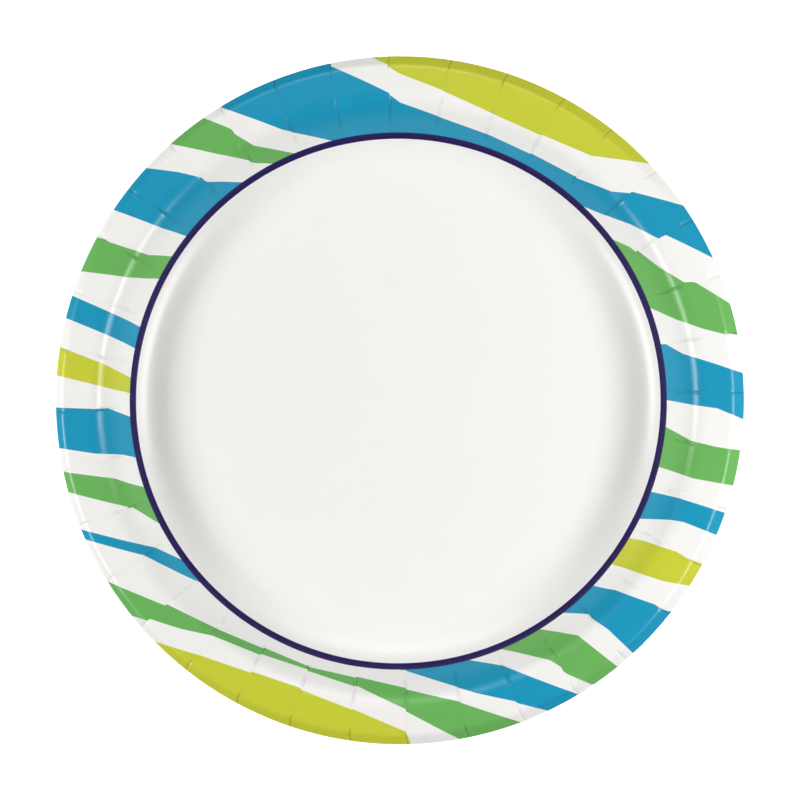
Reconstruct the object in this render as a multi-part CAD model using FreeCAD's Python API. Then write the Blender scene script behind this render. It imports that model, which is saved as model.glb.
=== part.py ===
import FreeCAD, Part
import math
import os

# A stack of round pressed paperboard plates, nested one in another.
# Millimetres. The origin is the centre of the bottom plate's underside, +Z is up.

# The stack
plate_count = 12
nest_clearance = 0.06       # air between two nested boards, square to their surface

# One plate, measured on its upper face
plate_diameter = 254.0      # over the cut edge
board_thickness = 0.45
plate_depth = 17.2          # from the well's floor up to the crest of the brim
well_corner_radius = 20.0   # the sweep from the flat floor into the wall
wall_angle = 46.0           # slope of the wall, degrees from level
shoulder_radius = 8.4       # the turn from the wall over the crest
brim_width = 13.0           # in plan, from the crest to the cut edge
brim_fall = 5.0             # slope of the brim down from the crest, degrees
lip_radius = 4.0            # the turn from the brim down into the lip
lip_angle = 37.0            # slope of the lip at the cut edge, degrees
lip_width = 2.4             # in plan, the straight part of the lip

# The pleats that take up the rim's spare length as the flat blank is pressed
pleat_count = 36
first_pleat_angle = 1.6     # from +X towards +Y, degrees
pleat_width = 1.2           # across one pleat, at the crest
pleat_drop = 0.16           # how far the board is pushed down in a pleat
pleat_start = 0.5           # in plan, from the wall's foot to the inner end of a pleat
pleat_run_in = 3.0          # in plan, from that end to where the pleat is fully down
pleat_side_clearance = 0.1  # each side, between a pleat and the one nested in it

# The slope of each stretch of the section, from the floor out to the edge
WALL = math.radians(wall_angle)
BRIM = -math.radians(brim_fall)
LIP = -math.radians(lip_angle)
CREST_R = plate_diameter / 2 - brim_width
AXIS_FOOT = FreeCAD.Vector(0, 0, 0)
UP = FreeCAD.Vector(0, 0, 1)


def point(r, z):
    """A point of the section, in the plane y = 0."""
    return FreeCAD.Vector(r, 0, z)


def along(start, slope, plan_length):
    """The point reached from start on a straight stretch of the section."""
    return start + point(plan_length, plan_length * math.tan(slope))


def turn(centre, radius, slope):
    """The point of a turn where the section has the given slope.

    The radius is positive where the board bends over a crest, negative in the hollow.
    """
    return centre + point(-radius * math.sin(slope), radius * math.cos(slope))


def line(start, end):
    return Part.LineSegment(start, end).toShape()


def arc(centre, radius, slope_in, slope_out):
    middle = turn(centre, radius, (slope_in + slope_out) / 2)
    return Part.Arc(turn(centre, radius, slope_in), middle, turn(centre, radius, slope_out)).toShape()


def section_side(depth_below):
    """The section's upper face, moved square to itself down into the board.

    Returns the edges of the well, from the axis out, and the edges of the rim, from the
    wall's foot to the cut edge. Crests get tighter and the hollow wider, so every depth
    gives a parallel face.
    """
    well_radius = well_corner_radius + depth_below
    crest_radius = shoulder_radius - depth_below
    end_radius = lip_radius - depth_below

    # The straight wall joins two turns: the crest's place and the plate's depth fix both
    both_turns = well_corner_radius + shoulder_radius
    wall_rise = plate_depth - both_turns * (1 - math.cos(WALL))
    wall_run = wall_rise / math.tan(WALL)
    floor_r = CREST_R - wall_run - both_turns * math.sin(WALL)
    well_centre = point(floor_r, board_thickness + well_corner_radius)
    shoulder_centre = point(CREST_R, board_thickness + plate_depth - shoulder_radius)

    # The brim falls from the shoulder to the lip, whose place is set from the cut edge
    brim_start = turn(shoulder_centre, shoulder_radius, BRIM)
    lip_start_r = plate_diameter / 2 - lip_width
    brim_end_r = lip_start_r + lip_radius * (math.sin(LIP) - math.sin(BRIM))
    brim_end = along(brim_start, BRIM, brim_end_r - brim_start.x)
    lip_centre = brim_end - turn(point(0, 0), lip_radius, BRIM)

    floor_end = turn(well_centre, -well_radius, 0)
    lip_start = turn(lip_centre, end_radius, LIP)
    well = [
        line(point(0, floor_end.z), floor_end),
        arc(well_centre, -well_radius, 0, WALL),
    ]
    rim = [
        line(turn(well_centre, -well_radius, WALL), turn(shoulder_centre, crest_radius, WALL)),
        arc(shoulder_centre, crest_radius, WALL, BRIM),
        line(turn(shoulder_centre, crest_radius, BRIM), turn(lip_centre, end_radius, BRIM)),
        arc(lip_centre, end_radius, BRIM, LIP),
        line(lip_start, along(lip_start, LIP, lip_width)),
    ]
    return well, rim


def start_of(edges):
    return edges[0].Vertexes[0].Point


def end_of(edges):
    return edges[-1].Vertexes[-1].Point


def face_of(edges):
    return Part.Face(Part.Wire(Part.sortEdges(edges)[0]))


def pressed_plate():
    """The plate without its pleats: the board's section turned about the axis."""
    well_above, rim_above = section_side(0)
    well_below, rim_below = section_side(board_thickness)
    axis_side = line(start_of(well_below), start_of(well_above))
    cut_side = line(end_of(rim_below), end_of(rim_above))
    section = face_of(well_above + rim_above + well_below + rim_below + [axis_side, cut_side])
    return section.revolve(AXIS_FOOT, UP, 360)


def pleat_curve(rim):
    """One face of the rim, pushed down from the pleat's inner end out to the cut edge."""
    lower_wall_foot = start_of(section_side(board_thickness)[1])
    inner_end = along(start_of(rim), WALL, lower_wall_foot.x + pleat_start - start_of(rim).x)
    drop = point(0, -pleat_drop)
    fully_down = along(inner_end, WALL, pleat_run_in) + drop
    pushed_down = [edge.translated(drop) for edge in rim[1:]]
    return [line(inner_end, fully_down), line(fully_down, start_of(pushed_down))] + pushed_down


def pleat_groove():
    """Section of what a pleat takes off the upper face, carried on into the air above."""
    curve = pleat_curve(section_side(0)[1])
    outer_end = end_of(curve)
    beyond = point(outer_end.x + lip_width, outer_end.z)
    above = board_thickness + plate_depth + pleat_drop
    return face_of(curve + [
        line(outer_end, beyond),
        line(beyond, point(beyond.x, above)),
        line(point(beyond.x, above), point(start_of(curve).x, above)),
        line(point(start_of(curve).x, above), start_of(curve)),
    ])


def pleat_rib():
    """Section of what the same pleat adds to the lower face, up to the middle of the board."""
    below = section_side(board_thickness)[1]
    middle = section_side(board_thickness / 2)[1]
    curve = pleat_curve(below)
    middle_start = along(start_of(middle), WALL, start_of(curve).x - start_of(middle).x)
    return face_of(curve + [
        line(end_of(curve), end_of(below)),
        line(end_of(below), end_of(middle)),
        line(start_of(curve), middle_start),
        line(middle_start, start_of(middle[1:])),
    ] + middle[1:])


def pleats(section, width):
    """The section turned through one pleat's width, at each pleat round the rim."""
    angle = math.degrees(width / CREST_R)
    one = section.revolve(AXIS_FOOT, UP, angle)
    ring = []
    for number in range(pleat_count):
        pleat = one.copy()
        pleat.rotate(AXIS_FOOT, UP, first_pleat_angle - angle / 2 + number * 360 / pleat_count)
        ring.append(pleat)
    return ring


def pleated_plate():
    grooved = pressed_plate().cut(pleats(pleat_groove(), pleat_width))
    return grooved.fuse(pleats(pleat_rib(), pleat_width - 2 * pleat_side_clearance))


# Plates of one shape nest at the pitch that leaves the clearance on the steepest slope
nest_pitch = (board_thickness + nest_clearance) / math.cos(max(WALL, -LIP))

os.makedirs("parts", exist_ok=True)
plate = pleated_plate()
print("plate valid", plate.isValid(), "solids", len(plate.Solids), "volume", round(plate.Volume, 1))
for number in range(plate_count):
    nested = plate.translated(UP * (number * nest_pitch))
    nested.exportStep("parts/plate_%02d.step" % (number + 1))
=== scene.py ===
import math
import random

import bmesh
import bpy
from mathutils import Matrix, Vector


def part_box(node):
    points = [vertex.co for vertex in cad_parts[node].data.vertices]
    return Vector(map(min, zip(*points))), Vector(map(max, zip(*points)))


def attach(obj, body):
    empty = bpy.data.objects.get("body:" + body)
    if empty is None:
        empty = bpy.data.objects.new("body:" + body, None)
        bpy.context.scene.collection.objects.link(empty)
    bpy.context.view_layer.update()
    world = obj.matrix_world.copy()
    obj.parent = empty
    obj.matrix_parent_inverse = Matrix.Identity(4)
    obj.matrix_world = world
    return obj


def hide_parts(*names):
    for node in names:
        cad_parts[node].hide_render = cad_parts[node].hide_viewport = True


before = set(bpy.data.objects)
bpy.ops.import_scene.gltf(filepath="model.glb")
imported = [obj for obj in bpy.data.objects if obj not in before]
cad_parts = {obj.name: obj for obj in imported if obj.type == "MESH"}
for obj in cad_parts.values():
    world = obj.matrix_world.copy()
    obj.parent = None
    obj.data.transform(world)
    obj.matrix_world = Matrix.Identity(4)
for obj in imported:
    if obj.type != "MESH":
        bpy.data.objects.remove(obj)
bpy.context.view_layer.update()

# The nested plates.
# Each is one round blank of bleached paperboard, pressed in a heated die that gathers the rim's spare
# length into shallow pleats. Round the stack only their lips show, and the lowest's bare underside.
plate_nodes = sorted(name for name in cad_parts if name.startswith("plate_"))
edge_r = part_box(plate_nodes[0])[1][0]
board_thickness = 0.00045
plate_depth = 0.0172
well_corner_radius = 0.020
wall_slope = math.radians(46)
shoulder_radius = 0.0084
crest_r = edge_r - 0.013
brim_slope = -math.radians(5)
lip_radius = 0.004
lip_slope = -math.radians(37)
lip_width = 0.0024

pleat_count = 36
pleat_pitch = 2 * math.pi / pleat_count
first_pleat = math.radians(1.6)
pleat_half_width = 0.0006
pleat_drop = 0.00016
pleat_inner_r = 0.1005
pleat_run_in = 0.003

# Each pleat is two grooves with a ridge between, whose height is a share of the grooves' depth. Two
# waves along the pleat make that depth uneven, by a share of it, and the brim is pressed flatter.
ridge_half_width = 0.6 * pleat_half_width
groove_half_width = 1.15 * pleat_half_width
ridge_height = 0.75
unevenness = 0.25
long_wave = 0.0008
long_wave_share = 0.6
short_wave = 0.00046
short_wave_share = 0.4
flattened_on_brim = 0.8

# The radii where the press moves the board, in pairs from where a change begins to where it ends
gather_start_r = pleat_inner_r - 0.03
gather_end_r = pleat_inner_r - 0.01
gathered_share = 0.95
panel_bulge_r = (pleat_inner_r - 0.004, pleat_inner_r + 0.004)
onto_brim_r = (crest_r - 0.0015, crest_r + 0.002)
onto_lip_r = (edge_r - 0.005, edge_r - 0.0035)

# The wall swells a little just inside the shoulder, and the die lies off the blank's centre
wall_swell = 0.00042
swell_peak_r = 0.105
swell_rise_run = 0.0075
swell_fall_run = 0.005
die_off_centre = -0.00085

# What the pleats hide of the blank, as shares of a panel, from their inner ends to the cut edge, and
# the radii between which the panels come to lie askew, so that the print jogs from one to the next
hidden_inside = 0.015
hidden_further_out = 0.04
hidden_start_r = 0.098
hidden_run = 0.029
jog_r = (0.099, 0.104)
mm_per_m = 1000

# What differs from one pleat and panel to the next, the same in every plate off the die. The jogs
# are in millimetres on the blank, the leans are metres aside for each metre further out.
press = random.Random(36)
pleat_strengths = [press.uniform(0.75, 1.25) for _ in range(pleat_count)]
pleat_shifts = [press.uniform(-0.0003, 0.0003) for _ in range(pleat_count)]
pleat_leans = [press.uniform(-0.09, 0.09) for _ in range(pleat_count)]
pleat_phases = [press.uniform(0, 2 * math.pi) for _ in range(pleat_count)]
pleat_starts = [press.uniform(-0.0005, 0.002) for _ in range(pleat_count)]
panel_bulges = [press.uniform(-0.00007, 0.00007) for _ in range(pleat_count)]
panel_jogs = [(press.uniform(-0.35, 0.35), press.uniform(-0.35, 0.35)) for _ in range(pleat_count)]


def ramp(value, start, end):
    """From 0 at start to 1 at end, eased at both."""
    share = min(max((value - start) / (end - start), 0), 1)
    return share * share * (3 - 2 * share)


def turn_points(centre, radius, slope_in, slope_out, steps):
    """Points along a turn of the section, from one slope to the other."""
    points = []
    for step in range(steps + 1):
        slope = slope_in + (slope_out - slope_in) * step / steps
        points.append((centre[0] - radius * math.sin(slope), centre[1] + radius * math.cos(slope)))
    return points


def between(start, end, steps):
    """The points between two ends of a straight stretch, without the ends."""
    return [
        (start[0] + (end[0] - start[0]) * step / steps, start[1] + (end[1] - start[1]) * step / steps)
        for step in range(1, steps)
    ]


def board_line(depth, steps):
    """The section at a depth below the printed face, as (radius, height) from the axis out."""
    both_turns = well_corner_radius + shoulder_radius
    wall_rise = plate_depth - both_turns * (1 - math.cos(wall_slope))
    floor_r = crest_r - wall_rise / math.tan(wall_slope) - both_turns * math.sin(wall_slope)
    well_centre = (floor_r, board_thickness + well_corner_radius)
    shoulder_centre = (crest_r, board_thickness + plate_depth - shoulder_radius)
    brim_start = turn_points(shoulder_centre, shoulder_radius, brim_slope, brim_slope, 1)[0]
    lip_start_r = edge_r - lip_width
    brim_end_r = lip_start_r + lip_radius * (math.sin(lip_slope) - math.sin(brim_slope))
    brim_end_z = brim_start[1] + (brim_end_r - brim_start[0]) * math.tan(brim_slope)
    lip_centre = (brim_end_r + lip_radius * math.sin(brim_slope),
                  brim_end_z - lip_radius * math.cos(brim_slope))

    well = turn_points(well_centre, -well_corner_radius - depth, 0, wall_slope, 2 * steps)
    shoulder = turn_points(shoulder_centre, shoulder_radius - depth, wall_slope, brim_slope, 2 * steps)
    lip = turn_points(lip_centre, lip_radius - depth, brim_slope, lip_slope, steps)
    edge = (lip[-1][0] + lip_width, lip[-1][1] + lip_width * math.tan(lip_slope))
    floor = [(well[0][0] * share, well[0][1]) for share in (0, 0.3, 0.6, 0.85)]
    return (floor + well + between(well[-1], shoulder[0], steps) + shoulder
            + between(shoulder[-1], lip[0], steps) + lip + between(lip[-1], edge, 2) + [edge])


def press_point(point):
    """Where the press moves a point of the plain form, and the place on the blank that lies there.

    The columns of points are drawn together at the pleats. The blank's place is in millimetres,
    with the distance from the nearest pleat as its third number.
    """
    r = math.hypot(point.x, point.y)
    if r < gather_start_r:
        return point, (mm_per_m * point.x, mm_per_m * point.y, mm_per_m * pleat_pitch * r / 2)
    place = (math.atan2(point.y, point.x) - first_pleat) / pleat_pitch
    nearest = round(place)
    aside = place - nearest
    pleat = nearest % pleat_count
    panel = math.floor(place) % pleat_count
    in_panel = math.sin(math.pi * aside) ** 2
    at_pleat = math.cos(math.pi * aside) ** 2
    start_r = pleat_inner_r + pleat_starts[pleat]
    begun = ramp(r, start_r, start_r + pleat_run_in)

    # The columns of points are gathered at the pleat, which wanders and leans a little
    drawn_in = gathered_share * math.sin(2 * math.pi * aside) / (2 * math.pi)
    aside -= drawn_in * ramp(r, gather_start_r, gather_end_r)
    from_pleat = abs(aside) * pleat_pitch * r
    wander = (pleat_shifts[pleat] + pleat_leans[pleat] * (r - crest_r)) * at_pleat
    wander *= ramp(r, gather_start_r, pleat_inner_r)
    angle = first_pleat + (nearest + aside) * pleat_pitch + wander / r

    # The grooves and their ridge are uneven along their length, and nearly flattened on the brim
    uneven = long_wave_share * math.sin(r / long_wave + pleat_phases[pleat])
    uneven += short_wave_share * math.sin(r / short_wave + 2 * pleat_phases[pleat])
    fold = (1 - ramp(from_pleat, ridge_half_width, groove_half_width)) * (1 + unevenness * uneven)
    ridge = (ridge_height - unevenness * uneven) * (1 - ramp(from_pleat, 0, ridge_half_width))
    on_lip = ramp(r, *onto_lip_r)
    on_brim = ramp(r, *onto_brim_r) * (1 - on_lip)
    depth = pleat_drop * pleat_strengths[pleat] * (1 - flattened_on_brim * on_brim) * begun
    drop = depth * (fold - ridge * (1 - on_lip))
    lift = panel_bulges[panel] * in_panel * ramp(r, *panel_bulge_r)
    swell = wall_swell * ramp(r, swell_peak_r - swell_rise_run, swell_peak_r)
    swell *= 1 - ramp(r, swell_peak_r, swell_peak_r + swell_fall_run)

    # The blank lies off the die's centre, so the lip is cut longer on one side than on the other
    trimmed = ramp(r, edge_r - lip_width, edge_r)
    longer = -die_off_centre * math.cos(angle) * trimmed
    pressed = Vector((r * math.cos(angle) + die_off_centre * (1 - trimmed), r * math.sin(angle),
                      point.z - drop + lift + swell + longer * math.tan(lip_slope)))

    # Each panel shows a little less than its share of the blank: the rest is in the pleats
    hidden = hidden_inside + hidden_further_out * min(max((r - hidden_start_r) / hidden_run, 0), 1)
    across = aside - math.copysign(0.5, aside) if aside else 0
    turn = -across * hidden * pleat_pitch
    blank_x = mm_per_m * (pressed.x * math.cos(turn) - pressed.y * math.sin(turn))
    blank_y = mm_per_m * (pressed.x * math.sin(turn) + pressed.y * math.cos(turn))
    jog = ramp(r, *jog_r)
    jog_x, jog_y = panel_jogs[panel]
    return pressed, (blank_x + jog * jog_x, blank_y + jog * jog_y, mm_per_m * from_pleat)


def press_plate(name, steps, columns_per_pleat):
    """One plate as a mesh: printed face, underside and cut edge, in that order of materials."""
    board = bmesh.new()
    blank_place = board.verts.layers.float_vector.new("blank_place")
    face_line = board_line(0, steps)
    under_line = board_line(board_thickness, max(steps // 2, 2))
    about_axis = {"cent": (0, 0, 0), "axis": (0, 0, 1), "dvec": (0, 0, 0)}
    for material, line in enumerate((face_line, under_line, [face_line[-1], under_line[-1]])):
        known = set(board.faces)
        points = [board.verts.new((r, 0, z)) for r, z in line]
        edges = [board.edges.new(pair) for pair in zip(points, points[1:])]
        bmesh.ops.spin(board, geom=points + edges, angle=pleat_pitch, steps=columns_per_pleat, **about_axis)
        for new_face in set(board.faces) - known:
            new_face.material_index = material
    one_panel = board.verts[:] + board.edges[:] + board.faces[:]
    bmesh.ops.spin(board, geom=one_panel, angle=2 * math.pi - pleat_pitch, steps=pleat_count - 1,
                   use_duplicate=True, **about_axis)
    bmesh.ops.rotate(board, verts=board.verts, cent=(0, 0, 0), matrix=Matrix.Rotation(first_pleat, 3, "Z"))
    bmesh.ops.remove_doubles(board, verts=board.verts, dist=0.000001)
    for point in board.verts:
        point.co, point[blank_place] = press_point(point.co)
    bmesh.ops.recalc_face_normals(board, faces=board.faces)
    mesh = bpy.data.meshes.new(name)
    board.to_mesh(mesh)
    board.free()
    mesh.shade_smooth()
    mesh.set_sharp_from_angle(angle=math.radians(50))
    return mesh


def add_node(tree, kind, inputs, **settings):
    """Adds a shader node, with its settings, and its inputs given as values or as sockets."""
    made = tree.nodes.new(kind)
    for setting, value in settings.items():
        setattr(made, setting, value)
    for socket, value in inputs.items():
        if isinstance(value, bpy.types.NodeSocket):
            tree.links.new(value, made.inputs[socket])
        else:
            made.inputs[socket].default_value = value
    return made


def calc(tree, operation, *values):
    """One step of arithmetic on values or sockets."""
    return add_node(tree, "ShaderNodeMath", dict(enumerate(values)), operation=operation).outputs[0]


def distance_from(tree, x, y, centre):
    """How far the place x, y is from a centre."""
    aside = calc(tree, "SUBTRACT", x, centre[0])
    along = calc(tree, "SUBTRACT", y, centre[1])
    squares = calc(tree, "ADD", calc(tree, "MULTIPLY", aside, aside), calc(tree, "MULTIPLY", along, along))
    return calc(tree, "SQRT", squares)


def map_range(tree, value, from_min, from_max, to_min, to_max):
    """The value carried over evenly from one range to another, and held at its ends."""
    made = add_node(tree, "ShaderNodeMapRange", {"Value": value, "From Min": from_min, "From Max": from_max,
                                                 "To Min": to_min, "To Max": to_max})
    return made.outputs["Result"]


def noise(tree, place, scale, detail, roughness=0.5):
    """Soft irregular patches, from 0 to 1, scale of them to a metre."""
    made = add_node(tree, "ShaderNodeTexNoise", {"Vector": place, "Scale": scale, "Detail": detail,
                                                 "Roughness": roughness})
    return made.outputs["Fac"]


def mix_colour(tree, share, first, second, blend="MIX"):
    """The second colour over the first, by a share from 0 to 1."""
    made = add_node(tree, "ShaderNodeMix", {}, data_type="RGBA", blend_type=blend)
    for socket, value in ((0, share), (6, first), (7, second)):
        if isinstance(value, bpy.types.NodeSocket):
            tree.links.new(value, made.inputs[socket])
        else:
            made.inputs[socket].default_value = value
    return made.outputs[2]


def edge_curve(tree, x, points):
    """The height of a stripe's edge at x, straight from point to point."""
    made = add_node(tree, "ShaderNodeFloatCurve", {"Value": x})
    mapping = made.mapping
    mapping.use_clip = False
    mapping.extend = "HORIZONTAL"
    curve = mapping.curves[0]
    while len(curve.points) < len(points):
        curve.points.new(0, 0)
    for curve_point, place in zip(curve.points, sorted(points)):
        curve_point.location = place
        curve_point.handle_type = "VECTOR"
    mapping.update()
    return made.outputs["Value"]


# Irregular stripes in blue, green and lime cross the rim, outside a navy line round the well. They
# are printed on the flat blank, so each pleat hides a little of them and their edges jog.
blue_ink = (0.010, 0.309, 0.505, 1)
green_ink = (0.149, 0.462, 0.107, 1)
lime_ink = (0.590, 0.620, 0.042, 1)
navy_ink = (0.019, 0.008, 0.095, 1)
white_coat = (0.905, 0.897, 0.872, 1)

# The navy line, in millimetres on the blank, and its centre, which the printer set a little off
ring_r = 98.27
ring_width = 2.31
ring_centre = (-0.64, -0.27)

# The fine creases of a pleat, in millimetres: their distance from its middle, their width, how far
# they stray, and the radii where they fade in and out on the shoulder and on the lip. A share of
# them is left on the brim and in their fainter patches.
groove_aside = 0.38
crease_width = 0.19
crease_core = 0.02
crease_stray = 0.4
shoulder_fades_in_r = (101.5, 104)
shoulder_fades_out_r = (111, 114.5)
lip_fades_in_r = (122, 123)
left_on_brim = 0.15
left_in_patches = 0.15

# Each stripe: its ink, the side of the plate it is on, its upper edge and its lower edge, as
# points (x, y) in millimetres from the plate's centre. None is the plate's own cut edge.
stripes = [
    (lime_ink, "back", None,
     [(-11, 126.6), (-4, 123.1), (0, 120.5), (17, 113.7), (36, 104.9), (53, 97.3), (69.5, 90.4),
      (92, 87.9)]),
    (blue_ink, "back",
     [(-27, 124.2), (-12, 117), (-4, 113), (0, 109.9), (33, 98.1), (48, 91.2), (64, 82.8), (78, 77.4),
      (86, 76.9), (105, 72.3)],
     [(-66, 108.5), (-43.5, 99.7), (-24, 95.8), (67, 72), (85, 65.3), (95, 60.3), (98, 60.4), (115, 52.6)]),
    (green_ink, "right",
     [(78.7, 59.5), (85, 57), (95, 49.1), (104.3, 43.6), (108, 43.8), (122, 35.7)],
     [(92.7, 34.1), (102, 29.9), (111.4, 26.8), (124.8, 23.8)]),
    (blue_ink, "right",
     [(96.4, 21), (98.8, 20.6), (104.7, 17.3), (126.6, 10.6)],
     [(98.7, 0), (108, -1.9), (117, -3.2), (127, -7.2)]),
    (green_ink, "right",
     [(98.4, -9.8), (107.3, -14.7), (125.6, -18.8)],
     [(95.8, -24.6), (107.9, -28.7), (123, -31.4)]),
    (blue_ink, "right",
     [(92.9, -34), (102.8, -36.4), (120, -42.2)],
     [(88.7, -43.8), (99.7, -44.2), (104.6, -45), (117, -49.9)]),
    (lime_ink, "right",
     [(84.7, -51.1), (91.2, -52.7), (111.8, -60)],
     [(78.2, -60.5), (97.5, -67), (106.8, -68.8)]),
    (blue_ink, "right",
     [(71, -68.5), (79.5, -70), (99.7, -77.8)],
     [(60.6, -78.7), (70, -79.4), (77, -84.1), (86.2, -92.7)]),
    (green_ink, "right",
     [(51.6, -84.6), (65.8, -87), (80, -98.6)],
     [(37, -91.9), (55, -96.2), (62.4, -101), (71, -104.9)]),
    (blue_ink, "right",
     [(25, -96), (38.8, -98.4), (65, -109)],
     [(1.4, -99.8), (28, -108), (42, -111.3), (55, -114.9)]),
    (green_ink, "front",
     [(44.7, -119.3), (21.7, -111.2), (0, -106.1), (-35.4, -98), (-68, -84.2), (-85.6, -75.7),
      (-108, -67)],
     [(22.7, -125.7), (3, -114.8), (-15, -106.1), (-52, -93.8), (-69, -86.9), (-81.4, -84.3),
      (-99.4, -79)]),
    (lime_ink, "front",
     [(4.9, -127), (3.2, -123), (0, -121.8), (-16, -114.7), (-38.7, -105.7), (-74.8, -93.8),
      (-90, -89.5)],
     None),
    (blue_ink, "left",
     [(-80, -59.4), (-89.8, -54.6), (-117.4, -48.4)],
     [(-73, -68), (-94.4, -57.2), (-116.3, -51.8)]),
    (green_ink, "left",
     [(-94.5, -32.2), (-105, -28.7), (-124, -26.7)],
     [(-88.6, -45.9), (-100.6, -38.8), (-122.4, -33.7)]),
    (blue_ink, "left",
     [(-99.6, -6.3), (-108, -3.1), (-127, -2.1)],
     [(-97.5, -21.4), (-102.7, -19.9), (-112, -19.5), (-125.8, -17.5)]),
    (lime_ink, "left",
     [(-99.5, 8.2), (-110, 13.4), (-125.6, 19)],
     [(-99.8, 2.6), (-114.4, 6.2), (-126.7, 9.1)]),
    (blue_ink, "left",
     [(-96, 27), (-107, 32), (-121.3, 38)],
     [(-97.9, 19.2), (-108.2, 24), (-123.3, 30.1)]),
    (green_ink, "left",
     [(-84.4, 53.3), (-92.7, 53.6), (-106.3, 58.4), (-112, 60)],
     [(-89.2, 44.9), (-100, 45.5), (-117.6, 48)]),
    (blue_ink, "left",
     [(-58.2, 80.7), (-70.8, 80.5), (-73.2, 81.9), (-82, 84), (-93.7, 85.8)],
     [(-78.9, 60.6), (-87.3, 63.1), (-105.7, 70.1)]),
    (green_ink, "left",
     [(-38.8, 91.3), (-53.8, 94), (-63.2, 100), (-72.9, 104)],
     [(-46.6, 87.6), (-53.4, 87.8), (-66.8, 90.5), (-84.2, 94.8)]),
]


def make_print_group():
    """The printed colours over the whole face, where ink lies, and how deep in a crease a point is."""
    group = bpy.data.node_groups.new("stripe_print", "ShaderNodeTree")
    for name in ("Shift X", "Shift Y"):
        group.interface.new_socket(name, in_out="INPUT", socket_type="NodeSocketFloat")
    group.interface.new_socket("Colour", in_out="OUTPUT", socket_type="NodeSocketColor")
    group.interface.new_socket("Crease", in_out="OUTPUT", socket_type="NodeSocketFloat")
    group.interface.new_socket("Ink", in_out="OUTPUT", socket_type="NodeSocketFloat")
    given = group.nodes.new("NodeGroupInput")
    result = group.nodes.new("NodeGroupOutput")

    place = add_node(group, "ShaderNodeTexCoord", {}).outputs["Object"]
    blank = add_node(group, "ShaderNodeAttribute", {}, attribute_name="blank_place").outputs["Vector"]
    split = add_node(group, "ShaderNodeSeparateXYZ", {"Vector": blank})
    from_pleat = split.outputs["Z"]
    blank_x = calc(group, "SUBTRACT", split.outputs["X"], given.outputs["Shift X"])
    blank_y = calc(group, "SUBTRACT", split.outputs["Y"], given.outputs["Shift Y"])

    side_masks = {
        "right": calc(group, "GREATER_THAN", blank_x, 0),
        "left": calc(group, "LESS_THAN", blank_x, 0),
        "back": calc(group, "GREATER_THAN", blank_y, 0),
        "front": calc(group, "LESS_THAN", blank_y, 0),
    }
    radius = distance_from(group, blank_x, blank_y, ring_centre)
    outside = calc(group, "GREATER_THAN", radius, ring_r)

    colour = white_coat
    inked = 0.0
    for ink, side, upper, lower in stripes:
        mask = calc(group, "MULTIPLY", side_masks[side], outside)
        if upper:
            below_upper = calc(group, "LESS_THAN", blank_y, edge_curve(group, blank_x, upper))
            mask = calc(group, "MULTIPLY", mask, below_upper)
        if lower:
            above_lower = calc(group, "GREATER_THAN", blank_y, edge_curve(group, blank_x, lower))
            mask = calc(group, "MULTIPLY", mask, above_lower)
        colour = mix_colour(group, mask, colour, ink)
        inked = calc(group, "MAXIMUM", inked, mask)
    from_ring = calc(group, "ABSOLUTE", calc(group, "SUBTRACT", radius, ring_r))
    in_ring = calc(group, "LESS_THAN", from_ring, ring_width / 2)
    colour = mix_colour(group, in_ring, colour, navy_ink)
    inked = calc(group, "MAXIMUM", inked, in_ring)

    # Fine crease lines, patchy along both grooves of each pleat, and one across the lip
    wobble = calc(group, "SUBTRACT", noise(group, place, scale=260, detail=2), 0.5)
    strayed = calc(group, "ADD", from_pleat, calc(group, "MULTIPLY", wobble, crease_stray))
    off_groove = calc(group, "ABSOLUTE", calc(group, "SUBTRACT", strayed, groove_aside))
    in_grooves = map_range(group, off_groove, crease_width, crease_core, 0, 1)
    patches = map_range(group, noise(group, place, scale=330, detail=1), 0.4, 0.56, left_in_patches, 1)
    on_shoulder = calc(group, "MULTIPLY", map_range(group, radius, *shoulder_fades_in_r, 0, 1),
                       map_range(group, radius, *shoulder_fades_out_r, 1, left_on_brim))
    shoulder_creases = calc(group, "MULTIPLY", calc(group, "MULTIPLY", in_grooves, on_shoulder), patches)
    on_lip_line = map_range(group, from_pleat, crease_width, crease_core, 0, 1)
    lip_creases = calc(group, "MULTIPLY", on_lip_line, map_range(group, radius, *lip_fades_in_r, 0, 1))
    creases = calc(group, "MAXIMUM", shoulder_creases, lip_creases)

    group.links.new(colour, result.inputs["Colour"])
    group.links.new(creases, result.inputs["Crease"])
    group.links.new(inked, result.inputs["Ink"])
    return group


stripe_print = make_print_group()


def new_material(name, roughness):
    """A material with its Principled BSDF, and the tree it stands in."""
    material = bpy.data.materials.new(name)
    material.use_nodes = True
    shader = material.node_tree.nodes["Principled BSDF"]
    shader.inputs["Roughness"].default_value = roughness
    return material, material.node_tree, shader


coat_roughness = 0.28
crease_roughness = 0.43
# Painted shade in the creases: its tint, and how strongly it darkens the white and the ink
crease_shade_tint = (0.25, 0.27, 0.28, 1)
crease_shade_in_white = 0.4
crease_shade_in_ink = 0.85
crease_depth = 0.00006
fibre_height = 0.02
least_ink = 0.996
most_ink = 1.003


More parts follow.
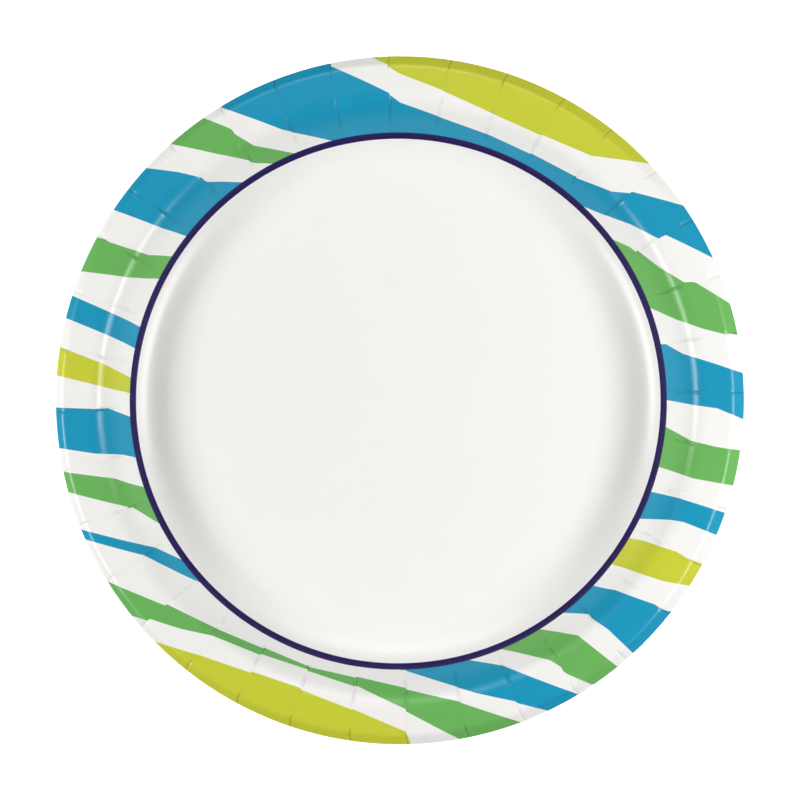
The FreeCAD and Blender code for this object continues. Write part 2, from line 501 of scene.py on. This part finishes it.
def make_printed_face(name, shift_x, shift_y):
    """Clay coated board, printed and varnished: smooth and glossy, with a trace of the fibres and painted
    shade in its creases.
    """
    material, tree, shader = new_material(name, coat_roughness)
    printed = add_node(tree, "ShaderNodeGroup", {}, node_tree=stripe_print)
    printed.inputs["Shift X"].default_value = shift_x
    printed.inputs["Shift Y"].default_value = shift_y
    place = add_node(tree, "ShaderNodeTexCoord", {}).outputs["Object"]

    # Ink density clouds a little
    clouds = map_range(tree, noise(tree, place, scale=60, detail=4), 0.3, 0.7, least_ink, most_ink)
    density = add_node(tree, "ShaderNodeCombineColor", {"Red": clouds, "Green": clouds, "Blue": clouds})
    clouded = mix_colour(tree, 1.0, printed.outputs["Colour"], density.outputs["Color"], "MULTIPLY")

    # The fold's shade is painted into the fine crease lines: the colour is darkened there, more in the ink
    # than in the white
    crease = printed.outputs["Crease"]
    tint = map_range(tree, printed.outputs["Ink"], 0, 1, crease_shade_in_white, crease_shade_in_ink)
    painted_crease_shade = calc(tree, "MULTIPLY", crease, tint)
    crease_shaded = mix_colour(tree, 1.0, clouded, crease_shade_tint, "MULTIPLY")
    tree.links.new(mix_colour(tree, painted_crease_shade, clouded, crease_shaded), shader.inputs["Base Color"])
    rough = map_range(tree, crease, 0, 1, coat_roughness, crease_roughness)
    tree.links.new(rough, shader.inputs["Roughness"])

    # Heights are shares of a crease's depth, and the fibres under the coating hardly show
    fibres = calc(tree, "MULTIPLY", noise(tree, place, scale=600, detail=2), fibre_height)
    height = calc(tree, "SUBTRACT", fibres, crease)
    bump = add_node(tree, "ShaderNodeBump", {"Height": height, "Strength": 0.5, "Distance": crease_depth})
    tree.links.new(bump.outputs["Normal"], shader.inputs["Normal"])
    return material


mottle_shade = 0.93


def make_raw_board(name, colour, roughness, fibre_scale, fibre_depth):
    """Bare bleached board: matte, with the mottle and the fibres of its making."""
    material, tree, shader = new_material(name, roughness)
    place = add_node(tree, "ShaderNodeTexCoord", {}).outputs["Object"]
    mottle = noise(tree, place, scale=150, detail=5)
    fibre = noise(tree, place, scale=fibre_scale, detail=6, roughness=0.7)
    darker = tuple(mottle_shade * part for part in colour[:3]) + (1,)
    shade = calc(tree, "MULTIPLY", map_range(tree, mottle, 0.35, 0.65, 0, 1),
                 map_range(tree, fibre, 0.3, 0.7, 0.4, 1))
    tree.links.new(mix_colour(tree, shade, darker, colour), shader.inputs["Base Color"])
    rough = map_range(tree, fibre, 0.3, 0.7, roughness - 0.06, roughness + 0.04)
    tree.links.new(rough, shader.inputs["Roughness"])
    bump = add_node(tree, "ShaderNodeBump", {"Height": fibre, "Strength": 0.4, "Distance": fibre_depth})
    tree.links.new(bump.outputs["Normal"], shader.inputs["Normal"])
    return material


underside = make_raw_board("uncoated_underside", (0.86, 0.85, 0.82, 1), roughness=0.85,
                           fibre_scale=900, fibre_depth=0.00003)
cut_edge = make_raw_board("cut_board_edge", (0.80, 0.78, 0.73, 1), roughness=0.9,
                          fibre_scale=2500, fibre_depth=0.00005)


def lay_plate(node, mesh, shift_x, shift_y):
    """Puts one pressed plate where its node lies in the nest, in its own printed sheet."""
    mesh.transform(Matrix.Translation((0, 0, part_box(node)[0][2])))
    plate = bpy.data.objects.new(node + "_board", mesh)
    bpy.context.scene.collection.objects.link(plate)
    for material in (make_printed_face("printed_face_" + node[-2:], shift_x, shift_y), underside, cut_edge):
        mesh.materials.append(material)
    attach(plate, "root")
    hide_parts(node)


# Under the top one the print sits a little differently on each plate, in millimetres
registration = random.Random(5)
print_shift = 0.4
nested_mesh = press_plate("nested_plate", steps=4, columns_per_pleat=10)
for node in plate_nodes[:-1]:
    shift_x = registration.uniform(-print_shift, print_shift)
    shift_y = registration.uniform(-print_shift, print_shift)
    lay_plate(node, nested_mesh.copy(), shift_x, shift_y)
bpy.data.meshes.remove(nested_mesh)


# The top plate.
# The last one laid in the nest, of the same board, print and die as the others. It shows its whole
# face, so its mesh has finer turns and pleats.
lay_plate(plate_nodes[-1], press_plate("top_plate", steps=8, columns_per_pleat=24), shift_x=0, shift_y=0)


# The floor.
# A plain white table top, bright enough to the camera that only the stack's shadow shows on it. It
# lies a hair under the lowest plate, so that no two faces coincide.
floor_z = -0.00005
floor_brightening = 0.6
bpy.ops.mesh.primitive_plane_add(size=6, location=(0, 0, floor_z))
floor = bpy.context.object
floor.name = "floor"
floor_paint, floor_tree, floor_shader = new_material("white_table", 0.9)
floor_shader.inputs["Base Color"].default_value = (0.85, 0.85, 0.85, 1)
floor_shader.inputs["Specular IOR Level"].default_value = 0
floor_shader.inputs["Emission Color"].default_value = (1, 1, 1, 1)
floor_rays = add_node(floor_tree, "ShaderNodeLightPath", {})
floor_glow = calc(floor_tree, "MULTIPLY", floor_rays.outputs["Is Camera Ray"], floor_brightening)
floor_tree.links.new(floor_glow, floor_shader.inputs["Emission Strength"])
floor.data.materials.append(floor_paint)


# The light.
# Soft boxes to the right and left light the board, low enough for the rim to shade the well next to
# it. Narrow strips there make only the gloss, and a weak pair at the back lifts the front.
def hang_soft_box(name, azimuth, from_zenith, distance, angular_size, power):
    """An area lamp that faces the stack, its size given by the angles it fills from there."""
    lamp = bpy.data.lights.new(name, "AREA")
    lamp.shape = "RECTANGLE"
    lamp.size, lamp.size_y = (2 * distance * math.tan(math.radians(angle) / 2)
                              for angle in angular_size)
    lamp.energy = power
    level = math.sin(math.radians(from_zenith))
    towards = Vector((level * math.cos(math.radians(azimuth)), level * math.sin(math.radians(azimuth)),
                      math.cos(math.radians(from_zenith))))
    soft_box = bpy.data.objects.new(name, lamp)
    soft_box.location = towards * distance
    soft_box.rotation_euler = towards.to_track_quat("Z", "Y").to_euler()
    bpy.context.scene.collection.objects.link(soft_box)
    return soft_box


for side, azimuth, distance, power in (("right", -4, 1.2, 14), ("left", 181, 2.2, 47)):
    key = hang_soft_box("key_" + side, azimuth, from_zenith=59.9, distance=distance,
                        angular_size=(41, 13), power=power)
    key.visible_glossy = False
for side, azimuth, from_zenith, power in (("right", -14, 48.5, 39), ("left", 193, 50, 42)):
    strip = hang_soft_box("strip_" + side, azimuth, from_zenith, distance=3.0,
                          angular_size=(35, 11), power=power)
    strip.visible_diffuse = False
fill = hang_soft_box("back_fill", azimuth=90, from_zenith=28, distance=2.2,
                     angular_size=(50, 20), power=3.8)
fill.visible_glossy = False
back_strip = hang_soft_box("back_strip", azimuth=90, from_zenith=38, distance=2.2,
                           angular_size=(38, 22), power=9)
back_strip.visible_diffuse = False

# The camera sees the room white. It lights the board only dimly, and the coating mirrors it dimly
# too, because a white room in the gloss would wash out the inks.
room_light = 0.06
mirrored_room = 0.06
world = bpy.data.worlds.new("studio")
bpy.context.scene.world = world
world.use_nodes = True
sky = world.node_tree.nodes["Background"]
rays = add_node(world.node_tree, "ShaderNodeLightPath", {})
seen = calc(world.node_tree, "MAXIMUM", rays.outputs["Is Camera Ray"], rays.outputs["Is Transmission Ray"])
mirrored = calc(world.node_tree, "MULTIPLY", rays.outputs["Is Glossy Ray"], mirrored_room)
lit = calc(world.node_tree, "MAXIMUM", mirrored, room_light)
sky_strength = calc(world.node_tree, "MAXIMUM", seen, lit)
world.node_tree.links.new(sky_strength, sky.inputs["Strength"])
sky.inputs["Color"].default_value = (1, 1, 1, 1)


# The camera.
# Straight above the stack, with a lens so long that there is almost no perspective. The frame's
# width is measured at the height of the top plate's cut edge.
photo_width = 0.2953
photo_centre_y = 0.0001
camera_height = 3.0
cut_edge_height = 0.0142
cut_edge_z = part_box(plate_nodes[-1])[0][2] + cut_edge_height
view = bpy.data.cameras.new("camera")
view.sensor_width = 36
view.lens = view.sensor_width * camera_height / photo_width
view.clip_end = 20
camera = bpy.data.objects.new("camera", view)
camera.location = (0, photo_centre_y, cut_edge_z + camera_height)
bpy.context.scene.collection.objects.link(camera)
bpy.context.scene.camera = camera
bpy.context.scene.view_settings.view_transform = "Standard"

bpy.context.view_layer.update()
